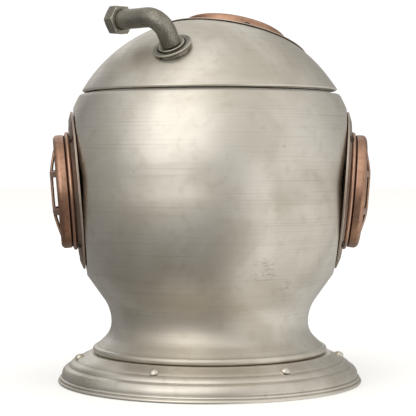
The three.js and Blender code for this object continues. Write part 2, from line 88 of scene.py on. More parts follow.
COLLAR_OUTER = 78.0
COLLAR_FOOT = 168.0
COLLAR_WALL = 1.8
LIP_INNER = 72.4
LIP_TOP = 178.0
LINER_FLANGE = 75.2
LINER_MOUTH = 71.6
LINER_WALL = 2.0
LINER_RIM = 1.7
LINER_FLOOR = 66.0
LINER_CORNER = 12.0
LINER_CORNER_CIRCLE = 54.0
LINER_FLAT = 52.0
SPIGOT_RADIUS = 68.2
SPIGOT_WALL = 2.6
SPIGOT_DEPTH = 9.0
RING_FLANGE = 75.6
RING_THICKNESS = 1.6
RING_STEP_OUTER = 74.4
RING_STEP_INNER = 72.4
RING_STEP_HEIGHT = 3.4
LID_EDGE = 180.2
LID_TURN = -38.0
LID_TILT = 0.6
LID_TILT_DEPTH = 7.0

SIDE_AZIMUTH = 94.0
SIDE_TILT = 4.6
SIDE_SEAT = 81.0
SIDE_HEIGHT = 119.3
TOP_POLAR = 18.0
TOP_SEAT = 78.8

SIDE_WINDOW = dict(
    collar_radius=48.8, collar_edge=1.5, hub_radius=38.6, hub_height=3.8, collar_bore=26.5,
    bead_radius=36.6, bead_height=2.6, bezel_radius=35.1, bezel_top=14.0, bezel_bore=31.4,
    edge_round=3.0, pane=2.4, guard_ring=2.6, guard_foot=12.0, guard_top=17.6,
    bar_offset=11.4, bar_width=4.2, bar_thickness=1.9, screw_circle=44.9, screw_radius=2.2,
)
TOP_WINDOW = dict(
    collar_radius=48.4, collar_edge=0.9, hub_radius=37.2, hub_height=2.5, collar_bore=26.5,
    bead_radius=35.2, bead_height=1.5, bezel_radius=33.6, bezel_top=10.8, bezel_bore=29.8,
    edge_round=2.2, pane=1.8, guard_ring=2.2, guard_foot=8.6, guard_top=13.6,
    bar_offset=10.8, bar_width=3.9, bar_thickness=1.7, screw_circle=44.6, screw_radius=2.0,
)

KNEE_RUN = 0.5
KNEE_RISE = 0.82
COLLAR_CHAMFER = 4.0
COLLAR_LIP = 0.5
SCREW_CROWN = 0.75

ELBOW_POLAR = 40.8
ELBOW_AZIMUTH = 104.8
ELBOW_LEAN_POLAR = 35.4
ELBOW_LEAN_AZIMUTH = 93.9
FLANGE_RADIUS = 12.2
FLANGE_TOP = 1.7
FLANGE_DISC = 1.3
FLANGE_DEPTH = 4.0
PLINTH_INSET = 1.2
BOSS_RADIUS = 7.8
BOSS_HEIGHT = 2.4
PIPE_RADIUS = 5.9
PIPE_AXIS_HEIGHT = 221.5
PIPE_HEADING = -9.0
PIPE_BEND = 10.0
PIPE_REACH = 33.0
PIPE_BORE = 3.6
PIPE_BORE_DEPTH = 12.0
PIPE_RECESS = 1.2
STUD_RADIUS = 3.0
STUD_DEPTH = 12.0
STUD_HOLE = 3.5
WASHER_DROP = 3.2
WASHER_RADIUS = 7.5
WASHER_THICKNESS = 1.2
INNER_FLATS = 10.0
INNER_LENGTH = 5.0
NUT_FLATS = 16.1
NUT_LENGTH = 7.0

# ---- Sections ----


def arc(r, z, radius, start, end, steps):
    """Points on a circle about (r, z), with angles in degrees from the +r direction."""
    turns = [math.radians(start + (end - start) * i / steps) for i in range(steps + 1)]
    return [(r + radius * math.cos(turn), z + radius * math.sin(turn)) for turn in turns]


def softened(outline, radius, closed=True, steps=4):
    """The outline with its clear corners rounded, by less where a side is short."""
    made = []
    count = len(outline)
    for i, point in enumerate(outline):
        here = Vector(point)
        if not closed and i in (0, count - 1):
            made.append(tuple(here))
            continue
        before = Vector(outline[i - 1]) - here
        after = Vector(outline[(i + 1) % count]) - here
        corner = before.angle(after)
        if math.pi - corner < math.radians(14):
            made.append(tuple(here))
            continue
        wanted = radius / math.tan(corner / 2)
        reach = min(wanted, 0.45 * before.length, 0.45 * after.length)
        start = here + before.normalized() * reach
        end = here + after.normalized() * reach
        for k in range(steps + 1):
            share = k / steps
            bent = start * (1 - share) ** 2 + here * 2 * share * (1 - share) + end * share ** 2
            made.append(tuple(bent))
    return made


def divided(outline, longest, closed=True):
    """The outline with its long sides divided, so that no side is longer than a length."""
    made = []
    count = len(outline)
    for i in range(count if closed else count - 1):
        start = Vector(outline[i])
        end = Vector(outline[(i + 1) % count])
        parts = max(1, math.ceil((end - start).length / longest))
        made += [tuple(start.lerp(end, k / parts)) for k in range(parts)]
    return made if closed else made + [tuple(outline[-1])]


# ---- Meshes ----


def skin(points, ring):
    """A mesh of quads over points[turn][station], closed round the turns, facing out."""
    turns, stations = points.shape[:2]
    index = np.arange(turns * stations).reshape(turns, stations)
    onward = np.roll(index, -1, 0)
    if ring:
        corners = [index, onward, np.roll(onward, -1, 1), np.roll(index, -1, 1)]
    else:
        corners = [index[:, :-1], onward[:, :-1], onward[:, 1:], index[:, 1:]]
    quads = np.stack(corners, -1).reshape(-1, 4)
    places = points.reshape(-1, 3)
    a, b, c, d = (places[quads[:, k]] for k in range(4))
    volume = np.einsum("ij,ij->", a, np.cross(b, c)) + np.einsum("ij,ij->", a, np.cross(c, d))
    if volume < 0:
        quads = quads[:, ::-1]
    mesh = bpy.data.meshes.new("skin")
    mesh.from_pydata(places.tolist(), [], quads.tolist())
    return mesh


def weld(mesh):
    """Merges points that lie on each other, such as those where a section meets its axis."""
    work = bmesh.new()
    work.from_mesh(mesh)
    bmesh.ops.remove_doubles(work, verts=work.verts, dist=1e-4)
    work.to_mesh(mesh)
    work.free()
    return mesh


def turned(section, segments, limit=None):
    """A section turned about Z: a ring, or a full body where it starts and ends on the axis.

    The mesh keeps how far each point lies along the section and where it is round the axis, for
    finishes with turning lines. limit gives the largest radius at each angle, for a prism.
    """
    outline = np.array(section, float)
    full = max(abs(outline[0, 0]), abs(outline[-1, 0])) < 1e-9
    travel = np.concatenate([[0], np.cumsum(np.hypot(*np.diff(outline, axis=0).T))])
    angle = np.arange(segments)[:, None] * 2 * math.pi / segments
    radius = np.broadcast_to(outline[:, 0], (segments, len(outline)))
    if limit is not None:
        most = limit(angle)
        ease, deepest = 0.14, 0.1
        radius = most - np.logaddexp(0, (most - radius) / ease) * ease
        radius = np.maximum(radius, np.minimum(outline[:, 0], most) - deepest)
        radius = radius * (outline[:, 0] > 0)
    height = np.broadcast_to(outline[:, 1], radius.shape)
    points = np.stack([radius * np.cos(angle), radius * np.sin(angle), height], -1)
    mesh = skin(points, ring=not full)
    marks = mesh.attributes.new("turning", "FLOAT_VECTOR", "POINT")
    along = np.broadcast_to(travel, radius.shape)
    values = np.stack([along, points[..., 0], points[..., 1]], -1)
    marks.data.foreach_set("vector", values.astype(np.float32).ravel())
    return weld(mesh)


def coordinates(mesh):
    places = np.zeros(len(mesh.vertices) * 3)
    mesh.vertices.foreach_get("co", places)
    return places.reshape(-1, 3)


def put_coordinates(mesh, places):
    mesh.vertices.foreach_set("co", places.ravel())
    mesh.update()


def sliced(mesh, cuts, above=-1e9):
    """Cuts off what lies beyond each (point, direction) plane, above a height, and closes the cut."""
    work = bmesh.new()
    work.from_mesh(mesh)
    for point, direction in cuts:
        faces = [face for face in work.faces if face.calc_center_median().z > above]
        edges = {edge for face in faces for edge in face.edges}
        verts = {vert for face in faces for vert in face.verts}
        done = bmesh.ops.bisect_plane(
            work, geom=[*verts, *edges, *faces], plane_co=point, plane_no=direction,
            clear_outer=True,
        )
        rim = [item for item in done["geom_cut"] if isinstance(item, bmesh.types.BMEdge)]
        bmesh.ops.triangle_fill(work, use_beauty=True, use_dissolve=False, edges=rim)
    bmesh.ops.recalc_face_normals(work, faces=work.faces)
    work.to_mesh(mesh)
    work.free()
    return mesh


def fused(meshes, voxel, smoothing):
    """Joins closed meshes into one skin, with small fillets where they meet."""
    work = bmesh.new()
    for mesh in meshes:
        work.from_mesh(mesh)
    joined = bpy.data.meshes.new("joined")
    work.to_mesh(joined)
    work.free()
    holder = bpy.data.objects.new("joined", joined)
    bpy.context.scene.collection.objects.link(holder)
    remesh = holder.modifiers.new("remesh", "REMESH")
    remesh.mode = "VOXEL"
    remesh.voxel_size = voxel
    smooth = holder.modifiers.new("smooth", "SMOOTH")
    smooth.factor = 0.5
    smooth.iterations = smoothing
    graph = bpy.context.evaluated_depsgraph_get()
    result = bpy.data.meshes.new_from_object(holder.evaluated_get(graph))
    bpy.data.objects.remove(holder)
    return result


def mark_edges(mesh):
    """Stores how sharply the surface bends at each point: over 0 on edges, under 0 in creases."""
    places = coordinates(mesh) / MM
    normals = np.zeros(len(mesh.vertices) * 3)
    mesh.vertex_normals.foreach_get("vector", normals)
    normals = normals.reshape(-1, 3)
    ends = np.zeros(len(mesh.edges) * 2, np.int32)
    mesh.edges.foreach_get("vertices", ends)
    first, second = ends.reshape(-1, 2).T
    apart = places[second] - places[first]
    reach = np.maximum((apart ** 2).sum(1), 1e-6)
    bend = np.zeros(len(places))
    np.add.at(bend, first, -(apart * normals[first]).sum(1) / reach)
    np.add.at(bend, second, (apart * normals[second]).sum(1) / reach)
    shared = np.maximum(np.bincount(ends, minlength=len(places)), 1)
    bend = np.clip(2 * bend / shared, -1, 1)
    for _ in range(2):
        spread = np.zeros(len(places))
        np.add.at(spread, first, bend[second])
        np.add.at(spread, second, bend[first])
        bend = (bend + spread / shared) / 2
    marks = mesh.attributes.new("edge", "FLOAT", "POINT")
    marks.data.foreach_set("value", bend.astype(np.float32))


def piece(name, mesh, place, finish, body, *nodes):
    """Shows a mesh as a piece that rides on a body and stands for its CAD nodes."""
    mesh.transform(Matrix.Scale(MM, 4) @ place)
    mesh.update()
    mark_edges(mesh)
    mesh.shade_smooth()
    mesh.set_sharp_from_angle(angle=math.radians(26))
    made = bpy.data.objects.new(name, mesh)
    bpy.context.scene.collection.objects.link(made)
    material, slot = finish
    mesh.materials.append(material)
    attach(made, body)
    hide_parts(*nodes)
    return made


# ---- Directions and places ----


def polar(azimuth, elevation):
    flat = math.cos(math.radians(elevation))
    return Vector((
        flat * math.cos(math.radians(azimuth)),
        flat * math.sin(math.radians(azimuth)),
        math.sin(math.radians(elevation)),
    ))


def facing(direction, point):
    """Turns +Z to a direction, with +Y as near to upright as that allows, and moves to a point."""
    across = Vector((0, 0, 1)).cross(direction).normalized()
    upright = direction.cross(across)
    turn = Matrix((across, upright, direction)).transposed()
    return Matrix.Translation(point) @ turn.to_4x4()


def about_z(degrees):
    return Matrix.Rotation(math.radians(degrees), 4, "Z")


def tipped(outwards):
    """Tips +Z outwards towards +X by an angle in degrees."""
    return Matrix.Rotation(math.radians(outwards), 4, "Y")


STILL = Matrix.Identity(4)
LID_PLACE = about_z(LID_TURN)

# ---- Finishes ----


class Tree:
    """The node tree of a material or a world, filled by short calls. Values are numbers or sockets."""

    def __init__(self, owner):
        owner.use_nodes = True
        self.tree = owner.node_tree
        self.tree.nodes.clear()

    def node(self, kind, **settings):
        made = self.tree.nodes.new("ShaderNode" + kind)
        for key, value in settings.items():
            setattr(made, key, value)
        return made

    def feed(self, socket, value):
        if isinstance(value, bpy.types.NodeSocket):
            self.tree.links.new(value, socket)
        else:
            socket.default_value = value

    def maths(self, operation, a, b=0.0):
        made = self.node("Math", operation=operation)
        self.feed(made.inputs[0], a)
        self.feed(made.inputs[1], b)
        return made.outputs[0]

    def between(self, value, low, high, start=0.0, end=1.0):
        """A value moved smoothly from start to end while the input goes from low to high."""
        made = self.node("MapRange", interpolation_type="SMOOTHSTEP")
        for socket, given in zip(made.inputs[:5], (value, low, high, start, end)):
            self.feed(socket, given)
        return made.outputs[0]

    def mix(self, share, a, b):
        made = self.node("Mix", data_type="RGBA")
        self.feed(made.inputs[0], share)
        self.feed(made.inputs[6], a)
        self.feed(made.inputs[7], b)
        return made.outputs[2]


class Finish(Tree):
    """A material on one principled shader. Its edge value is over 0 on edges, under 0 in creases."""

    def __init__(self, name, **uniform):
        self.material = bpy.data.materials.new(name)
        super().__init__(self.material)
        self.shader = self.node("BsdfPrincipled")
        self.feed(self.node("OutputMaterial").inputs["Surface"], self.shader.outputs["BSDF"])
        self.place = self.node("TexCoord").outputs["Object"]
        self.edge = self.node("Attribute", attribute_name="edge").outputs["Fac"]
        self.turning = self.node("Attribute", attribute_name="turning").outputs["Vector"]
        self.normal = None
        for key, value in uniform.items():
            self.shader.inputs[key.replace("_", " ")].default_value = value

    def stretched(self, stretch, place=None):
        made = self.node("Mapping")
        self.feed(made.inputs["Vector"], place or self.place)
        made.inputs["Scale"].default_value = stretch
        return made.outputs[0]

    def noise(self, scale, detail=2.0, place=None, distortion=0.0):
        made = self.node("TexNoise")
        self.feed(made.inputs["Vector"], place or self.place)
        made.inputs["Scale"].default_value = scale
        made.inputs["Detail"].default_value = detail
        made.inputs["Distortion"].default_value = distortion
        return made.outputs["Fac"]

    def cells(self, scale):
        """The distance to the nearest of scattered points."""
        made = self.node("TexVoronoi", feature="F1")
        self.feed(made.inputs["Vector"], self.place)
        made.inputs["Scale"].default_value = scale
        return made.outputs["Distance"]

    def stain_and_shade(self, colour, value, low, high, share, tone):
        """The colour with up to a share of an sRGB tone, while a value goes from low to high: used for
        stains, wear and painted shade.
        """
        return self.mix(self.between(value, low, high, 0.0, share), colour, rgb(*tone))

    def near(self, point, radius):
        """1 at a point in metres, falling to 0 at a radius."""
        made = self.node("VectorMath", operation="DISTANCE")
        self.feed(made.inputs[0], self.place)
        made.inputs[1].default_value = point
        return self.between(made.outputs["Value"], 0.35 * radius, radius, 1.0, 0.0)

    def rim_shadow(self, point, direction, radius):
        """1 within a radius of an axis in millimetres, on the outer side only, and 0 beyond: the mask
        of a painted shadow under a collar's rim.
        """
        away = self.node("VectorMath", operation="SUBTRACT")
        self.feed(away.inputs[0], self.place)
        away.inputs[1].default_value = point * MM
        along = self.node("VectorMath", operation="PROJECT")
        self.feed(along.inputs[0], away.outputs[0])
        along.inputs[1].default_value = direction
        apart = self.node("VectorMath", operation="DISTANCE")
        self.feed(apart.inputs[0], away.outputs[0])
        self.feed(apart.inputs[1], along.outputs[0])
        out = self.node("VectorMath", operation="DOT_PRODUCT")
        self.feed(out.inputs[0], away.outputs[0])
        out.inputs[1].default_value = direction
        inner, outer = (radius - 0.5) * MM, (radius + 0.6) * MM
        disc = self.between(apart.outputs["Value"], inner, outer, 1.0, 0.0)
        side = self.between(out.outputs["Value"], -30 * MM, -25 * MM)
        return self.maths("MULTIPLY", disc, side)

    def largest(self, values):
        result = values[0]
        for value in values[1:]:
            result = self.maths("MAXIMUM", result, value)
        return result

    def bump(self, height, depth):
        """Raises the surface by a height from 0 to 1, times a depth in metres."""
        made = self.node("Bump")
        made.inputs["Distance"].default_value = depth
        self.feed(made.inputs["Height"], height)
        if self.normal is not None:
            self.feed(made.inputs["Normal"], self.normal)
        self.normal = made.outputs["Normal"]

    def done(self, colour, roughness, slot):
        self.feed(self.shader.inputs["Base Color"], colour)
        self.feed(self.shader.inputs["Roughness"], roughness)
        if self.normal is not None:
            self.feed(self.shader.inputs["Normal"], self.normal)
        return self.material, slot


def rgb(red, green, blue):
    """An sRGB colour from 0 to 255 as a linear one."""
    def linear(value):
        share = value / 255
        return share / 12.92 if share <= 0.04045 else ((share + 0.055) / 1.055) ** 2.4
    return (linear(red), linear(green), linear(blue), 1.0)


def on_helmet(azimuth, height, radius):
    """A place in metres on the surface at an azimuth and a height in millimetres."""
    return polar(azimuth, 0) * radius * MM + Vector((0, 0, height * MM))


def turning_lines(finish, spacing):
    """Fine lines that follow the turning, about a spacing in millimetres apart."""
    fine = 1 / spacing
    return finish.noise(1.0, 3.0, finish.stretched((fine, 0.012, 0.012), finish.turning))


def pewter_finish(name, worn=(), shadow_rims=()):
    """Satin pewter: brushed round, clouded, pitted here and there, with painted shade in its creases
    and painted shadow under any rims given.
    """
    made = Finish(name, Metallic=1.0, Anisotropic=0.45, Anisotropic_Rotation=0.25)
    tangent = made.node("Tangent", direction_type="RADIAL", axis="Z")
    made.feed(made.shader.inputs["Tangent"], tangent.outputs[0])
    clouds = made.noise(16, 5.0, distortion=0.6)
    mottle = made.noise(150, 4.0)
    lines = turning_lines(made, 0.9)
    broad = turning_lines(made, 6.0)
    light, dark = rgb(229, 224, 214), rgb(203, 196, 183)
    colour = made.mix(made.between(clouds, 0.35, 0.68), light, dark)
    colour = made.stain_and_shade(colour, mottle, 0.5, 0.85, 0.3, (172, 160, 142))
    colour = made.stain_and_shade(colour, lines, 0.5, 0.8, 0.22, (150, 142, 128))
    pits = made.between(made.cells(260), 0.05, 0.14, 1.0, 0.0)
    pits = made.maths("MULTIPLY", pits, made.between(made.noise(34, 2.0), 0.6, 0.7))
    patches = made.largest([made.near(point, radius) for point, radius in worn] or [0.0])
    scratches = made.noise(1.0, 4.0, made.stretched((260, 260, 900)))
    rough_patch = made.maths("MULTIPLY", patches, made.between(scratches, 0.55, 0.62))
    scars = made.maths("MAXIMUM", pits, rough_patch)
    colour = made.mix(made.maths("MULTIPLY", scars, 0.3), colour, rgb(112, 103, 90))
    # Painted shade: creases darkened towards dark grey-brown
    colour = made.stain_and_shade(colour, made.edge, -0.08, -0.7, 0.4, (74, 66, 56))
    proud = made.between(made.edge, 0.1, 0.7, 0.0, 0.7)
    colour = made.mix(proud, colour, rgb(240, 234, 222))
    if shadow_rims:
        shade = made.largest([made.rim_shadow(*rim) for rim in shadow_rims])
        # Painted shadow: near-black strips on the bowl where the window collars overhang and shade it
        colour = made.mix(shade, colour, rgb(16, 13, 11))
    rough = made.between(clouds, 0.3, 0.7, 0.33, 0.43)
    rough = made.maths("ADD", rough, made.maths("MULTIPLY", made.maths("ADD", lines, scars), 0.1))
    rough = made.maths("SUBTRACT", rough, made.maths("MULTIPLY", proud, 0.08))
    made.bump(lines, 0.000018)
    made.bump(broad, 0.00003)
    made.bump(made.maths("SUBTRACT", 1.0, scars), 0.00006)
    return made.done(colour, rough, "pewter")


def copper_finish():
    """Aged copper plate: painted shade darkens its grooves nearly to black-brown; lighter and smoother
    on its edges.
    """
    made = Finish("copper", Metallic=1.0)
    clouds = made.noise(40, 4.0, distortion=0.4)
    mottle = made.noise(320, 3.0)
    lines = turning_lines(made, 0.7)
    colour = made.mix(made.between(clouds, 0.35, 0.7), rgb(190, 150, 126), rgb(158, 119, 98))
    colour = made.stain_and_shade(colour, mottle, 0.45, 0.8, 0.5, (120, 88, 72))
    colour = made.stain_and_shade(colour, lines, 0.5, 0.8, 0.3, (108, 78, 64))
    # Painted shade: grooves and creases darkened nearly to black-brown, and made rougher
    crease_shade = made.between(made.edge, -0.05, -0.4, 0.0, 0.92)
    colour = made.mix(crease_shade, colour, rgb(38, 27, 22))
    colour = made.stain_and_shade(colour, made.edge, 0.25, 0.9, 0.55, (222, 188, 164))
    rough = made.between(clouds, 0.3, 0.7, 0.3, 0.42)
    rough = made.maths("ADD", rough, made.maths("MULTIPLY", crease_shade, 0.25))
    made.bump(lines, 0.00002)
    made.bump(mottle, 0.00003)
    return made.done(colour, rough, "copper")


def collar_finish():
    """Brown patina over pewter, with painted shade in its creases, rubbed bright along the edges."""
    made = Finish("collar_metal", Metallic=1.0)
    clouds = made.noise(45, 4.0, distortion=0.5)
    mottle = made.noise(380, 4.0)
    lines = turning_lines(made, 0.8)
    colour = made.mix(made.between(clouds, 0.3, 0.7), rgb(168, 152, 138), rgb(136, 112, 96))
    colour = made.stain_and_shade(colour, mottle, 0.45, 0.8, 0.5, (104, 82, 68))
    colour = made.stain_and_shade(colour, lines, 0.5, 0.85, 0.35, (90, 72, 60))
    # Painted shade: creases darkened towards dark brown
    colour = made.stain_and_shade(colour, made.edge, -0.04, -0.35, 0.85, (52, 40, 34))
    colour = made.stain_and_shade(colour, made.edge, 0.3, 0.9, 0.8, (226, 212, 198))
    rough = made.between(clouds, 0.3, 0.7, 0.36, 0.5)
    made.bump(lines, 0.000025)
    made.bump(mottle, 0.00004)
    return made.done(colour, rough, "collar_metal")


def cast_finish():
    """Grainy dark gunmetal, as cast, with painted shade in its creases and edges rubbed lighter."""
    made = Finish("dark_cast", Metallic=1.0)
    clouds = made.noise(60, 4.0)
    grain = made.noise(1100, 5.0)
    pits = made.between(made.cells(700), 0.06, 0.2, 1.0, 0.0)
    pits = made.maths("MULTIPLY", pits, made.between(made.noise(160), 0.45, 0.6))
    colour = made.mix(made.between(clouds, 0.3, 0.7), rgb(176, 172, 160), rgb(142, 137, 126))
    colour = made.stain_and_shade(colour, grain, 0.42, 0.7, 0.6, (112, 106, 95))
    colour = made.mix(made.maths("MULTIPLY", pits, 0.7), colour, rgb(58, 54, 48))
    # Painted shade: creases darkened nearly to black
    colour = made.stain_and_shade(colour, made.edge, -0.04, -0.3, 0.9, (30, 27, 24))
    colour = made.stain_and_shade(colour, made.edge, 0.22, 0.8, 0.75, (208, 202, 188))
    rough = made.between(grain, 0.3, 0.7, 0.36, 0.52)
    made.bump(grain, 0.00009)
    made.bump(made.maths("SUBTRACT", 1.0, pits), 0.00012)
    return made.done(colour, rough, "dark_cast")


def screw_finish():
    """Blackened screws."""
    made = Finish("dark_screw", Metallic=1.0)
    grain = made.noise(900, 4.0)
    colour = made.mix(made.between(grain, 0.35, 0.7), rgb(96, 86, 76), rgb(50, 43, 37))
    # Painted shade: slots and creases darkened nearly to black
    colour = made.stain_and_shade(colour, made.edge, -0.03, -0.25, 0.9, (18, 15, 13))
    rough = made.between(grain, 0.3, 0.7, 0.3, 0.45)
    made.bump(grain, 0.00005)
    return made.done(colour, rough, "dark_screw")


def machined_finish():
    """Plain machined metal of the parts inside, with painted shade in its creases."""
    made = Finish("inner_metal", Metallic=1.0)
    clouds = made.noise(30, 4.0)
    lines = turning_lines(made, 0.5)
    colour = made.mix(made.between(clouds, 0.3, 0.7), rgb(202, 199, 190), rgb(170, 164, 152))
    colour = made.stain_and_shade(colour, lines, 0.45, 0.8, 0.4, (128, 122, 112))
    # Painted shade: creases darkened towards dark grey-brown
    colour = made.stain_and_shade(colour, made.edge, -0.05, -0.4, 0.8, (70, 64, 56))
    rough = made.between(lines, 0.3, 0.7, 0.3, 0.46)
    made.bump(lines, 0.00002)
    return made.done(colour, rough, "inner_metal")


def glass_finish():
    """Clear window glass with faint smears."""
    made = Finish("glass", Transmission_Weight=1.0, IOR=1.5)
    smears = made.noise(70, 4.0, distortion=1.5)
    colour = made.stain_and_shade(rgb(236, 242, 240), smears, 0.4, 0.8, 0.5, (206, 216, 212))
    rough = made.between(smears, 0.35, 0.75, 0.02, 0.12)
    made.bump(made.noise(90, 2.0), 0.00006)
    return made.done(colour, rough, "glass")


def plastic_finish():
    """The liner's moulded white plastic, a little yellowed, with fine scuffs."""
    made = Finish("white_plastic", Metallic=0.0, Specular_IOR_Level=0.5)
    clouds = made.noise(22, 3.0)
    scuffs = made.noise(1.0, 5.0, made.stretched((160, 160, 90)))
    colour = made.mix(made.between(clouds, 0.3, 0.75), rgb(233, 231, 224), rgb(219, 214, 201))
    colour = made.stain_and_shade(colour, scuffs, 0.64, 0.8, 0.18, (192, 187, 176))
    rough = made.between(scuffs, 0.35, 0.7, 0.26, 0.46)
    made.bump(made.noise(600, 3.0), 0.00002)
    return made.done(colour, rough, "white_plastic")


def felt_finish():
    """Pressed dark felt under the foot."""
    made = Finish("felt", Sheen_Weight=0.35, Sheen_Roughness=0.6)
    fibres = made.noise(1400, 6.0, distortion=2.0)
    clumps = made.noise(160, 3.0)
    colour = made.mix(made.between(fibres, 0.3, 0.7), rgb(42, 44, 41), rgb(72, 74, 69))
    colour = made.stain_and_shade(colour, clumps, 0.45, 0.8, 0.5, (30, 31, 29))
    made.bump(fibres, 0.0003)
    return made.done(colour, made.between(fibres, 0.2, 0.8, 0.85, 1.0), "felt")


# Places where the surface is scarred: a few pits and scratched patches on the bowl
BODY_SCARS = [
    (on_helmet(60, 132, 92), 0.0022),
    (on_helmet(116, 146, 91), 0.0020),
    (on_helmet(111, 74, 80), 0.011),
    (on_helmet(124, 66, 74), 0.006),
]
# Worn, pitted stretches of the foot's lower edge
FOOT_SCARS = [
    (on_helmet(36, 7, 93), 0.012),
    (on_helmet(108, 1, 94), 0.006),
    (on_helmet(115, 1, 94), 0.006),
    (on_helmet(122, 2, 94), 0.006),
]


def body_seat(azimuth):
    """A side window's outward direction and the middle of its seat."""
    flat = polar(azimuth, 0)
    return polar(azimuth, -SIDE_TILT), flat * SIDE_SEAT + Vector((0, 0, SIDE_HEIGHT))


BODY_SEATS = {
    "front": body_seat(-90),
    "left": body_seat(-90 + SIDE_AZIMUTH),
    "right": body_seat(-90 - SIDE_AZIMUTH),
}
# Painted shadow: the strips of the bowl below the collars' edges, darkened where the collars shade them
BODY_RIM_SHADOWS = [(point, way, SIDE_WINDOW["collar_radius"] - 3.0) for way, point in BODY_SEATS.values()]

PEWTER = pewter_finish("pewter_body", BODY_SCARS, BODY_RIM_SHADOWS)
PEWTER_FOOT = pewter_finish("pewter_foot", FOOT_SCARS)
PEWTER_LID = pewter_finish("pewter_lid")
COPPER = copper_finish()
COLLAR = collar_finish()
CAST = cast_finish()
SCREW = screw_finish()
MACHINED = machined_finish()
GLASS = glass_finish()
PLASTIC = plastic_finish()
FELT = felt_finish()

# ---- Body ----


def helmet_outline(offset):
    """The outline from the neck's lower end up to the mouth, moved inwards by an offset."""
    slope = SHOULDER_ANGLE
    neck = arc(NECK_RADIUS + NECK_LOWER_ARC, NECK_HEIGHT, NECK_LOWER_ARC + offset, 226, 180, 22)
    rise = arc(NECK_RADIUS + NECK_UPPER_ARC, NECK_HEIGHT, NECK_UPPER_ARC + offset, 178, 180 - slope, 20)
    bowl = arc(0, LOWER_CENTRE, DOME_RADIUS - offset, -slope, 0, 40)
    mouth = math.degrees(math.asin((MOUTH_HEIGHT - UPPER_CENTRE) / (DOME_RADIUS - offset)))
    crown = arc(0, UPPER_CENTRE, DOME_RADIUS - offset, 0, mouth, 34)
    return [*neck, *rise, *bowl, *crown]


def body_mesh(seats):
    bead = arc(BEAD_CIRCLE, BEAD_HEIGHT, BEAD_RADIUS, -90, 96, 20)
    outside = helmet_outline(0)
    inside = helmet_outline(WALL)[::-1]
    lip = 0.75
    out_r, out_z = outside[-1]
    in_r, in_z = inside[0]
    rim = [
        *arc(out_r - lip, out_z - lip, lip, 30, 90, 6),
        *arc(in_r + lip / 2, in_z - lip / 2, lip / 2, 90, 180, 4),
    ]
    foot = [(BEAD_CIRCLE - BEAD_HEM, BEAD_HEIGHT - BEAD_RADIUS)]
    section = divided([*bead, *outside[:-1], *rim, *inside[1:], *foot], 2.4)
    mesh = turned(section, 384)
    cuts = [(point - direction * GAP, direction) for direction, point in seats]
    return sliced(mesh, cuts, above=50)


def rim_collar_mesh():
    inner = COLLAR_OUTER - COLLAR_WALL
    outline = [
        (COLLAR_OUTER, COLLAR_FOOT), (COLLAR_OUTER, LIP_TOP), (LIP_INNER, LIP_TOP),
        (LIP_INNER, LIP_TOP - COLLAR_WALL), (inner, LIP_TOP - COLLAR_WALL), (inner, COLLAR_FOOT),
    ]
    return turned(divided(softened(outline, 0.6), 2), 288)


def foot_mesh():
    """The spun foot: a lip, a thin fillet, a torus, a roll and the shelf that holds the rivets."""
    lip = [
        (FOOT_RADIUS - 0.9, 0), *arc(FOOT_RADIUS - 1.0, 1.0, 1.0, -60, 60, 8),
        (FOOT_RADIUS - 0.95, 2.1), (FOOT_RADIUS - 1.15, 2.35),
    ]
    fillet = [*arc(FOOT_RADIUS - 1.7, 3.0, 0.62, -40, 60, 6), (FOOT_RADIUS - 2.2, 3.9)]
    torus = arc(*TORUS, -8, 50, 18)
    roll = arc(*ROLL, 24, 84, 18)
    shelf = [
        (SHELF_OUTER, SHELF_LOW - 0.35), (SHELF_OUTER - 0.6, SHELF_LOW + 0.1),
        (SHELF_INNER, SHELF_HIGH), (SHELF_INNER - 0.8, SHELF_HIGH + 0.35),
        (SHELF_INNER - 1.6, FOOT_TOP), (FOOT_BORE, FOOT_TOP),
    ]
    inside = [
        (FOOT_BORE, FOOT_TOP - 2.1), (SHELF_OUTER - 1, SHELF_LOW - 2.2), (TORUS[0], 8),
        (CAVITY_RADIUS - 0.2, 3.4), (CAVITY_RADIUS, 0),
    ]
    outline = softened([*lip, *fillet, *torus, *roll, *shelf, *inside], 0.4)
    return turned(divided(outline, 2.5), 384)


def rivet_mesh():
    """A low domed head with a slight rim, on a short shank."""
    head = arc(0, 0, RIVET_RADIUS, 0, 90, 14)
    head = [(r * (1 + 0.04 * (r > 2.7)), z * RIVET_CROWN) for r, z in head]
    return turned([(0, -0.4), (RIVET_RADIUS, -0.4), *head[:-1], (0, head[-1][1])], 40)


def plate_mesh(radius, low, high):
    """A disc with softened rims and shallow rings turned in both faces."""
    shares, depth = (0.3, 0.34, 0.62, 0.66, 0.9, 0.94), 0.12
    face = [(radius * share, depth * (k % 2)) for k, share in enumerate(shares)]
    under = [(r, low + dip) for r, dip in face]
    over = [(r, high - dip) for r, dip in reversed(face)]
    outline = [(0, low), *under, (radius, low), (radius, high), *over, (0, high)]
    return turned(divided(softened(outline, 0.35, closed=False), 4, closed=False), 192)


def build_foot():
    piece("foot", foot_mesh(), STILL, PEWTER_FOOT, "vessel", "base_ring")
    fall = math.degrees(math.atan2(SHELF_HIGH - SHELF_LOW, SHELF_OUTER - SHELF_INNER))
    for i, azimuth in enumerate(RIVET_AZIMUTHS, 1):
        seat = Matrix.Translation((RIVET_CIRCLE, 0, RIVET_HEIGHT)) @ tipped(fall)
        place = about_z(azimuth) @ seat
        piece(f"rivet_{i}", rivet_mesh(), place, PEWTER_FOOT, "vessel", f"base_rivet_{i}")
    plate = plate_mesh(PLATE_RADIUS, PLATE_LOW, PLATE_TOP)
    piece("closing_plate", plate, STILL, MACHINED, "vessel", "bottom_plate")
    pad = plate_mesh(PAD_RADIUS, 0, PAD_THICKNESS)
    piece("felt_pad", pad, STILL, FELT, "vessel", "foot_pad")


# ---- Windows ----


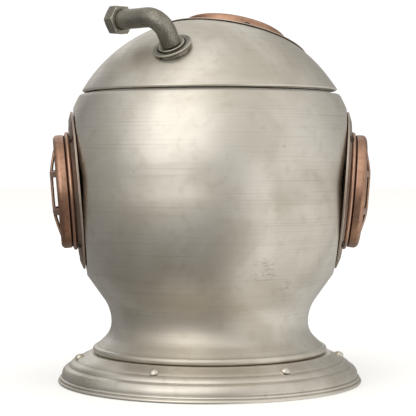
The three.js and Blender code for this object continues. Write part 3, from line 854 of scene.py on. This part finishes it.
def collar_mesh(spec):
    """A shallow cone with a rubbed outer edge, a cove beside the hub and a fine line by the screws."""
    outer, hub = spec["collar_radius"], spec["hub_radius"]
    edge, top, bore = spec["collar_edge"], spec["hub_height"], spec["collar_bore"]
    run, lift = outer - hub, top - edge
    knee = (outer - KNEE_RUN * run, edge + KNEE_RISE * lift)
    cove = [
        (knee[0] - 0.05 * run, knee[1] - 0.1 * lift),
        (knee[0] - 0.12 * run, knee[1] - 0.06 * lift),
        (knee[0] - 0.3 * run, knee[1] + 0.06 * lift),
    ]
    outline = [
        (bore, 0), (outer - COLLAR_CHAMFER, 0), (outer, COLLAR_LIP), (outer, edge),
        (outer - 0.35, edge + 0.22), knee, *cove, (hub + 0.6, top), (bore, top),
    ]
    return turned(divided(softened(outline, 0.4), 1.5), 224)


def bezel_mesh(spec):
    """The window's ring: a bead at its foot, a groove, an upright wall and a rounded top edge."""
    foot = spec["hub_height"] + GAP
    round_radius, bead = spec["edge_round"], spec["bead_height"]
    wall, top, bore = spec["bezel_radius"], spec["bezel_top"], spec["bezel_bore"]
    bead_half = bead / 2
    outline = [
        (bore, foot),
        *arc(spec["bead_radius"] - bead_half, foot + bead_half, bead_half, -84, 84, 10),
        (wall - 0.35, foot + bead + 0.02), (wall - 0.75, foot + bead + 0.3),
        (wall - 0.75, foot + bead + 0.7), (wall - 0.1, foot + bead + 1.1),
        *arc(wall - round_radius, top - round_radius, round_radius, 0, 84, 14),
        (bore + 0.8, top - 0.15), (bore + 0.1, top - 0.9),
    ]
    return turned(divided(softened(outline, 0.3), 1.2), 256)


def pane_mesh(spec):
    radius = spec["bezel_bore"] - GAP
    base = spec["hub_height"] + GAP
    crown = 0.25
    low = [(radius * k / 8, base + crown * 0.3 * (1 - (k / 8) ** 2)) for k in range(9)]
    high = [(radius * k / 8, base + spec["pane"] - crown * (k / 8) ** 2) for k in range(8, -1, -1)]
    return turned(softened([*low, *high], 0.3, closed=False), 128)


def bar_mesh(spec, offset, turn):
    """A guard bar with a rounded section: level in the middle, its ends sloping to the ring."""
    ring = spec["bezel_bore"] - GAP - spec["guard_ring"] / 2
    reach = math.sqrt(ring * ring - spec["bar_offset"] ** 2)
    level = spec["bar_offset"] + spec["bar_width"] / 2
    half = spec["bar_thickness"] / 2
    top, low = spec["guard_top"] - half, spec["guard_foot"] + half
    slope = (top - low) / (reach - level)
    ease = 1.9
    stations = 90
    across, sides = spec["bar_width"] / 2, 36
    points = np.zeros((sides, stations + 1, 3))
    for k in range(stations + 1):
        along = -reach + 2 * reach * k / stations
        past = abs(along) - level
        drop = slope * ease * math.log1p(math.exp(min(past / ease, 30.0)))
        centre = Vector((along, offset, top - drop))
        share = min(1.0, 1.6 * min(k, stations - k) / 6)
        size = math.sqrt(max(0.0, 1 - (1 - share) ** 2))
        for i in range(sides):
            angle = 2 * math.pi * i / sides
            wide = math.copysign(abs(math.cos(angle)) ** 0.62, math.cos(angle))
            deep = math.copysign(abs(math.sin(angle)) ** 0.75, math.sin(angle))
            points[i, k] = centre + Vector((0, wide * across, deep * half)) * size
    mesh = weld(skin(points, ring=False))
    mesh.transform(about_z(turn))
    return mesh


def guard_mesh(spec):
    outer = spec["bezel_bore"] - GAP
    inner = outer - spec["guard_ring"]
    top = spec["guard_foot"] + spec["bar_thickness"]
    base = spec["hub_height"] + 2 * GAP + spec["pane"]
    outline = softened([(inner, base), (outer, base), (outer, top), (inner, top)], 0.8)
    parts = [turned(divided(outline, 1.0), 160)]
    for offset in (-spec["bar_offset"], spec["bar_offset"]):
        parts += [bar_mesh(spec, offset, turn) for turn in (0, 90)]
    return fused(parts, voxel=0.42, smoothing=5)


def screw_mesh(radius):
    """A domed screw head with a slot."""
    height = SCREW_CROWN * radius
    slot_half, slot_edge, slot_depth = 0.16 * radius, 0.02 * radius, 0.3 * height
    turns, stations = 48, 22
    points = np.zeros((turns, stations + 2, 3))
    for i in range(turns):
        angle = 2 * math.pi * i / turns
        for k in range(stations):
            lean = math.pi / 2 * k / (stations - 1)
            r = radius * math.cos(lean)
            x, y = r * math.cos(angle), r * math.sin(angle)
            slot = 1 / (1 + math.exp((abs(y) - slot_half) / slot_edge))
            z = height * math.sin(lean) - slot_depth * slot * (r < 0.92 * radius)
            points[i, k + 1] = (x, y, max(z, 0.02))
        points[i, 0] = (0, 0, 0)
        points[i, 1] = (radius * math.cos(angle), radius * math.sin(angle), 0)
        points[i, -1] = (0, 0, height - slot_depth)
    return weld(skin(points, ring=False))


def build_window(side, spec, place, body, guard):
    """One window, seated by a place: collar, bezel, pane, guard and four screws."""
    parts = {
        "collar": (collar_mesh(spec), COLLAR), "bezel": (bezel_mesh(spec), COPPER),
        "pane": (pane_mesh(spec), GLASS), "guard": (guard.copy(), COPPER),
    }
    for part, (mesh, finish) in parts.items():
        piece(f"{side}_window_{part}", mesh, place, finish, body, f"{side}_{part}")
    run = KNEE_RUN * (spec["collar_radius"] - spec["hub_radius"])
    rise = KNEE_RISE * (spec["hub_height"] - spec["collar_edge"])
    slope = math.degrees(math.atan2(rise, run))
    height = spec["collar_edge"] + rise * (spec["collar_radius"] - spec["screw_circle"]) / run
    for i in range(4):
        spoke = about_z(45 + 90 * i) @ Matrix.Translation((spec["screw_circle"], 0, height))
        turn = spoke @ tipped(slope) @ about_z(35 + 70 * i)
        mesh = screw_mesh(spec["screw_radius"])
        piece(f"{side}_screw_head_{i + 1}", mesh, place @ turn, SCREW, body, f"{side}_screw_{i + 1}")


# ---- Liner ----


def liner_mesh():
    top = LIP_TOP + GAP + LINER_RIM
    corner = (LINER_CORNER_CIRCLE, LINER_FLOOR + LINER_CORNER)
    outline = [
        (0, LINER_FLOOR), (LINER_FLAT, LINER_FLOOR), *arc(*corner, LINER_CORNER, -80, -3, 18),
        (LINER_MOUTH - 1.2, LIP_TOP - 26), (LINER_MOUTH - 0.1, LIP_TOP - 6),
        (LINER_MOUTH, LIP_TOP + GAP), (LINER_FLANGE, LIP_TOP + GAP), (LINER_FLANGE, top),
        (LINER_MOUTH - LINER_WALL, top),
        (LINER_MOUTH - 0.1 - LINER_WALL, LIP_TOP - 6), (LINER_MOUTH - 1.2 - LINER_WALL, LIP_TOP - 26),
        *arc(*corner, LINER_CORNER - LINER_WALL, -3, -80, 18),
        (LINER_FLAT, LINER_FLOOR + LINER_WALL), (0, LINER_FLOOR + LINER_WALL),
    ]
    return turned(divided(softened(outline, 0.7, closed=False), 4, closed=False), 288)


# ---- Lid ----


def lid_ring_mesh():
    seat = LIP_TOP + LINER_RIM + 2 * GAP
    inner, step = SPIGOT_RADIUS - SPIGOT_WALL, seat + RING_THICKNESS
    outline = [
        (inner, seat - SPIGOT_DEPTH), (SPIGOT_RADIUS, seat - SPIGOT_DEPTH),
        (SPIGOT_RADIUS, seat - 5.6), (SPIGOT_RADIUS - 0.6, seat - 5.2),
        (SPIGOT_RADIUS - 0.6, seat - 3.8), (SPIGOT_RADIUS, seat - 3.4),
        (SPIGOT_RADIUS, seat), (RING_FLANGE, seat), (RING_FLANGE, step),
        (RING_STEP_OUTER, seat + RING_STEP_HEIGHT), (RING_STEP_INNER, seat + RING_STEP_HEIGHT),
        (RING_STEP_INNER, step), (inner, step),
    ]
    return turned(divided(softened(outline, 0.4), 2.5), 288)


def lid_mesh(seat):
    """The domed lid: its rim is rolled under, and stands a little higher on one side."""
    roll = 1.25
    inner = DOME_RADIUS - WALL
    low = math.degrees(math.asin((LID_EDGE + roll - UPPER_CENTRE) / DOME_RADIUS))
    edge_r, edge_z = arc(0, UPPER_CENTRE, DOME_RADIUS, low, low, 1)[0]
    turn_in = arc(edge_r - roll, edge_z, roll, low, -90, 12)
    inner_low = math.degrees(math.asin((LID_EDGE + 0.5 - UPPER_CENTRE) / inner))
    outside = arc(0, UPPER_CENTRE, DOME_RADIUS, 90, low, 90)
    inside = arc(0, UPPER_CENTRE, inner, inner_low, 90, 60)
    section = [(0, outside[0][1]), *outside[1:], *turn_in[1:], *inside[:-1], (0, inside[-1][1])]
    mesh = turned(section, 384)
    direction, point = seat
    sliced(mesh, [(point - direction * GAP, direction)])
    places = coordinates(mesh)
    fade = np.clip((LID_EDGE + LID_TILT_DEPTH - places[:, 2]) / LID_TILT_DEPTH, 0, 1)
    turn = math.radians(LID_TURN)
    aside = places[:, 0] * math.cos(turn) - places[:, 1] * math.sin(turn)
    places[:, 2] += LID_TILT * (0.25 - 0.75 * aside / edge_r) * fade
    put_coordinates(mesh, places)
    return mesh


class BentLine:
    """A straight line, a round bend and a second straight line, measured from the first's start."""

    def __init__(self, start, corner, heading, radius):
        self.start, self.heading, self.radius = start, heading, radius
        self.inward = (corner - start).normalized()
        self.sweep = self.inward.angle(heading)
        tangent = radius * math.tan(self.sweep / 2)
        self.first = (corner - start).length - tangent
        self.bend = radius * self.sweep
        self.side = (heading - heading.dot(self.inward) * self.inward).normalized()
        self.level = self.inward.cross(self.side)
        self.corner, self.tangent = corner, tangent

    def at(self, travel):
        """The place, and the two directions across the line, at a distance along it."""
        past = travel - self.first
        turn = min(max(past / self.radius, 0.0), self.sweep)
        ahead = self.inward * math.cos(turn) + self.side * math.sin(turn)
        inside = self.side * math.cos(turn) - self.inward * math.sin(turn)
        point = self.start + self.inward * min(travel, self.first)
        point += self.inward * self.radius * math.sin(turn)
        point += self.side * self.radius * (1 - math.cos(turn))
        point += ahead * max(past - self.bend, 0.0)
        return point, inside, self.level


def elbow_layout():
    """The elbow in the lid's own frame: its lean, its foot on the dome and its bent line."""
    lean = polar(ELBOW_LEAN_AZIMUTH, 90 - ELBOW_LEAN_POLAR)
    foot = polar(ELBOW_AZIMUTH, 90 - ELBOW_POLAR) * (DOME_RADIUS + GAP)
    foot.z += UPPER_CENTRE
    heading = polar(PIPE_HEADING, 0)
    corner = foot + lean * ((PIPE_AXIS_HEIGHT - foot.z) / lean.z)
    return lean, foot, heading, corner, BentLine(foot, corner, heading, PIPE_BEND)


def roughened(mesh, amount, scale):
    """Moves the points along their normals by a slight uneven height, as cast metal has."""
    places = coordinates(mesh)
    normals = np.zeros(places.size)
    mesh.vertex_normals.foreach_get("vector", normals)
    heights = [noise.noise(Vector(place) * scale) for place in places.tolist()]
    lifts = normals.reshape(-1, 3) * amount * np.array(heights)[:, None]
    put_coordinates(mesh, places + lifts)
    return mesh


def pipe_mesh(line):
    """The pipe: a stud below, a wall that follows the bent line and a bored open end."""
    end = line.first + line.bend + (PIPE_REACH - line.tangent) + NUT_LENGTH - PIPE_RECESS
    foot = BOSS_HEIGHT + GAP
    outline = [
        (0, -STUD_DEPTH), (STUD_RADIUS, -STUD_DEPTH), (STUD_RADIUS, foot), (PIPE_RADIUS, foot),
        (PIPE_RADIUS, end), (PIPE_BORE, end), (PIPE_BORE, end - PIPE_BORE_DEPTH),
        (0, end - PIPE_BORE_DEPTH),
    ]
    outline = softened(outline, 0.5, closed=False)
    mesh = turned(divided(outline, 0.7, closed=False), 80)
    places = coordinates(mesh)
    for i, (x, y, travel) in enumerate(places.tolist()):
        point, inside, level = line.at(travel)
        places[i] = point + inside * x + level * y
    put_coordinates(mesh, places)
    return roughened(mesh, 0.07, 0.45)


def flange_mesh(lean, foot):
    """The elbow's round foot: a thin disc with a raised boss, on a plinth that follows the dome."""
    plinth, disc = FLANGE_RADIUS - PLINTH_INSET, FLANGE_TOP - FLANGE_DISC
    edge = FLANGE_DISC / 2
    outline = [
        (STUD_HOLE, -FLANGE_DEPTH), (plinth, -FLANGE_DEPTH), (plinth, disc),
        *arc(FLANGE_RADIUS - edge, FLANGE_TOP - edge, edge, -84, 84, 10),
        (FLANGE_RADIUS - 1.8, FLANGE_TOP - 0.25), (BOSS_RADIUS + 0.9, FLANGE_TOP - 0.2),
        *arc(BOSS_RADIUS - 0.3, BOSS_HEIGHT - 0.6, 0.6, 10, 88, 6),
        (PIPE_RADIUS + 0.9, BOSS_HEIGHT - 0.1), (STUD_HOLE, BOSS_HEIGHT - 0.1),
    ]
    mesh = turned(divided(softened(outline, 0.25), 0.8), 144)
    mesh.transform(facing(lean, foot))
    centre = Vector((0, 0, UPPER_CENTRE))
    reach = DOME_RADIUS + GAP
    for vertex in mesh.vertices:
        out = vertex.co - centre
        if out.length < reach:
            along = out.dot(lean)
            lift = -along + math.sqrt(along * along - out.length_squared + reach * reach)
            vertex.co += lean * lift
    mesh.update()
    return roughened(mesh, 0.05, 0.5)


def hexagon(flats):
    """The radius of a hexagon with a corner on +X, as a function of the angle."""
    def limit(angle):
        sixth = math.pi / 3
        return flats / 2 / np.cos(np.mod(angle, sixth) - sixth / 2)
    return limit


def nut_mesh(flats, length, bore):
    """A hexagonal nut with slightly chamfered ends and an eased hole."""
    corner = flats / math.sqrt(3)
    chamfer = 0.6
    outline = [
        (bore, 0), (flats / 2 - 0.1, 0), (corner + 0.3, chamfer), (corner + 0.3, length - chamfer),
        (flats / 2 - 0.1, length), (bore + 0.8, length), (bore, length - 0.8),
    ]
    section = divided(softened(outline, 0.15), 0.35)
    return turned(section, 288, hexagon(flats))


def build_elbow():
    lean, foot, heading, corner, line = elbow_layout()
    piece("elbow_foot", flange_mesh(lean, foot), LID_PLACE, CAST, "lid", "elbow_flange")
    piece("elbow_bend", pipe_mesh(line), LID_PLACE, CAST, "lid", "elbow_pipe")
    nut = roughened(nut_mesh(NUT_FLATS, NUT_LENGTH, PIPE_RADIUS + GAP), 0.06, 0.4)
    place = facing(heading, corner + heading * PIPE_REACH)
    piece("end_nut", nut, LID_PLACE @ place, CAST, "lid", "hex_nut")
    washer = softened([
        (STUD_HOLE, 0), (WASHER_RADIUS, 0), (WASHER_RADIUS, WASHER_THICKNESS),
        (STUD_HOLE, WASHER_THICKNESS),
    ], 0.3)
    inside = foot - lean * (WALL + WASHER_DROP)
    place = LID_PLACE @ facing(-lean, inside)
    piece("clamp_washer", turned(divided(washer, 1), 96), place, MACHINED, "lid", "elbow_washer")
    place = LID_PLACE @ facing(-lean, inside - lean * (WASHER_THICKNESS + GAP))
    nut = nut_mesh(INNER_FLATS, INNER_LENGTH, STUD_RADIUS + GAP)
    piece("clamp_nut", nut, place, MACHINED, "lid", "elbow_nut")


# ---- Assembly ----


def build():
    piece("helmet_body", body_mesh(BODY_SEATS.values()), STILL, PEWTER, "vessel", "body_shell")
    piece("mouth_collar", rim_collar_mesh(), STILL, MACHINED, "vessel", "rim_collar")
    build_foot()
    guard = guard_mesh(SIDE_WINDOW)
    for side, (direction, point) in BODY_SEATS.items():
        build_window(side, SIDE_WINDOW, facing(direction, point), "vessel", guard)
    piece("ice_liner", liner_mesh(), STILL, PLASTIC, "liner", "liner")
    direction = polar(-90, 90 - TOP_POLAR)
    point = Vector((0, 0, UPPER_CENTRE)) + direction * TOP_SEAT
    piece("domed_lid", lid_mesh((direction, point)), LID_PLACE, PEWTER_LID, "lid", "lid_dome")
    piece("seat_ring", lid_ring_mesh(), LID_PLACE, MACHINED, "lid_seat", "lid_ring")
    place = LID_PLACE @ facing(direction, point)
    build_window("top", TOP_WINDOW, place, "lid", guard_mesh(TOP_WINDOW))
    build_elbow()


# ---- Stage, lights and camera ----

FLOOR_HALF = 6.0
CAMERA_DISTANCE = 0.950
CAMERA_AZIMUTH = 2.0
CAMERA_HEIGHT = 0.141
AIM_HEIGHT = 0.108
AIM_ASIDE = 0.00106
CAMERA_LENS = 131.54


def build_floor():
    mesh = bpy.data.meshes.new("floor")
    corners = [(-1, -1), (1, -1), (1, 1), (-1, 1)]
    places = [(FLOOR_HALF * x, FLOOR_HALF * y, 0) for x, y in corners]
    mesh.from_pydata(places, [], [(0, 1, 2, 3)])
    floor = bpy.data.objects.new("floor", mesh)
    bpy.context.scene.collection.objects.link(floor)
    made = Finish("floor", Emission_Color=(1, 1, 1, 1), Emission_Strength=0.22)
    tone = made.mix(made.noise(3, 2.0), rgb(250, 250, 249), rgb(246, 246, 245))
    material, _ = made.done(tone, 0.9, None)
    mesh.materials.append(material)
    floor.visible_glossy = False


def surround_ramp(made, azimuth, levels):
    """A grey ramp over an azimuth from -180 to 180 degrees, given as (azimuth, level) pairs."""
    share = made.node("MapRange")
    for socket, given in zip(share.inputs[:3], (azimuth, -math.pi, math.pi)):
        made.feed(socket, given)
    ramp = made.node("ValToRGB")
    stops = ramp.color_ramp.elements
    for _ in range(len(levels) - 2):
        stops.new(0.5)
    for stop, (angle, level) in zip(stops, levels):
        stop.position = (angle + 180) / 360
        stop.color = (level, level * 0.985, level * 0.955, 1)
    made.feed(ramp.inputs["Fac"], share.outputs[0])
    return ramp.outputs["Color"]


# Brightness of the surround by azimuth, from +Y towards +X: above the horizon, below it, overhead
SURROUND_ABOVE = [
    (-180, 0.32), (-127, 0.50), (-82, 0.66), (-40, 0.82), (-18, 0.72), (-6, 0.78), (8, 1.3),
    (50, 1.32), (66, 0.80), (81, 0.60), (94, 0.44), (128, 0.28), (180, 0.34),
]
SURROUND_BELOW = [
    (-180, 0.40), (-110, 0.75), (-60, 1.05), (-28, 1.02), (-19, 0.30), (60, 0.27), (110, 0.24),
    (180, 0.30),
]
SURROUND_TOP = [
    (-180, 0.7), (-90, 0.95), (-20, 1.05), (-5, 1.15), (10, 1.6), (50, 1.6), (72, 1.1), (100, 0.8),
    (180, 0.7),
]


def build_world():
    """A soft surround with a bright zone to one side, and white where the camera sees it."""
    world = bpy.data.worlds.new("surround")
    bpy.context.scene.world = world
    made = Tree(world)
    split = made.node("SeparateXYZ")
    made.feed(split.inputs[0], made.node("TexCoord").outputs["Generated"])
    across, ahead, upright = split.outputs
    azimuth = made.maths("ARCTAN2", across, ahead)
    below, above, overhead = (
        surround_ramp(made, azimuth, levels)
        for levels in (SURROUND_BELOW, SURROUND_ABOVE, SURROUND_TOP)
    )
    around = made.mix(made.between(upright, -0.12, 0.08), below, above)
    soft, white = made.node("Background"), made.node("Background")
    made.feed(soft.inputs["Color"], made.mix(made.between(upright, 0.42, 0.9), around, overhead))
    white.inputs["Color"].default_value = (1, 1, 1, 1)
    white.inputs["Strength"].default_value = 1.05
    seen = made.node("MixShader")
    made.feed(seen.inputs[0], made.node("LightPath").outputs["Is Camera Ray"])
    made.feed(seen.inputs[1], soft.outputs[0])
    made.feed(seen.inputs[2], white.outputs[0])
    made.feed(made.node("OutputWorld").inputs["Surface"], seen.outputs[0])


def softbox(name, azimuth, elevation, distance, width, height, radiance):
    """A rectangular light that faces the helmet, by azimuth from the camera's side towards +X."""
    target = Vector((0, 0, 0.12))
    out = polar(90 - azimuth, elevation)
    data = bpy.data.lights.new(name, "AREA")
    data.shape = "RECTANGLE"
    data.size, data.size_y = width, height
    data.energy = radiance * math.pi * width * height
    lamp = bpy.data.objects.new(name, data)
    lamp.location = target + out * distance
    lamp.rotation_euler = out.to_track_quat("Z", "Y").to_euler()
    bpy.context.scene.collection.objects.link(lamp)
    return lamp


def build_lights():
    """Each by azimuth and elevation, distance, width and height in metres, and radiance."""
    softbox("key", 29, 18, 1.5, 0.9, 1.6, 0.35)
    softbox("fill", -75, 20, 1.8, 1.4, 1.6, 0.12)
    softbox("far_side", 170, 25, 1.8, 1.4, 1.4, 0.5)
    downlight = softbox("downlight", 0, 88, 2.2, 2.6, 2.6, 0.35)
    downlight.visible_glossy = False


def build_camera():
    turn = math.radians(CAMERA_AZIMUTH)
    eye = Vector((math.sin(turn), math.cos(turn), 0)) * CAMERA_DISTANCE
    eye.z = CAMERA_HEIGHT
    right = Vector((-math.cos(turn), math.sin(turn), 0))
    aim = Vector((0, 0, AIM_HEIGHT)) - right * AIM_ASIDE
    data = bpy.data.cameras.new("camera")
    data.sensor_width = 36
    data.lens = CAMERA_LENS
    camera = bpy.data.objects.new("camera", data)
    camera.location = eye
    camera.rotation_euler = (eye - aim).to_track_quat("Z", "Y").to_euler()
    bpy.context.scene.collection.objects.link(camera)
    bpy.context.scene.camera = camera


build_camera()
build_world()
build_lights()
build_floor()
build()
bpy.context.scene.view_settings.view_transform = "Standard"
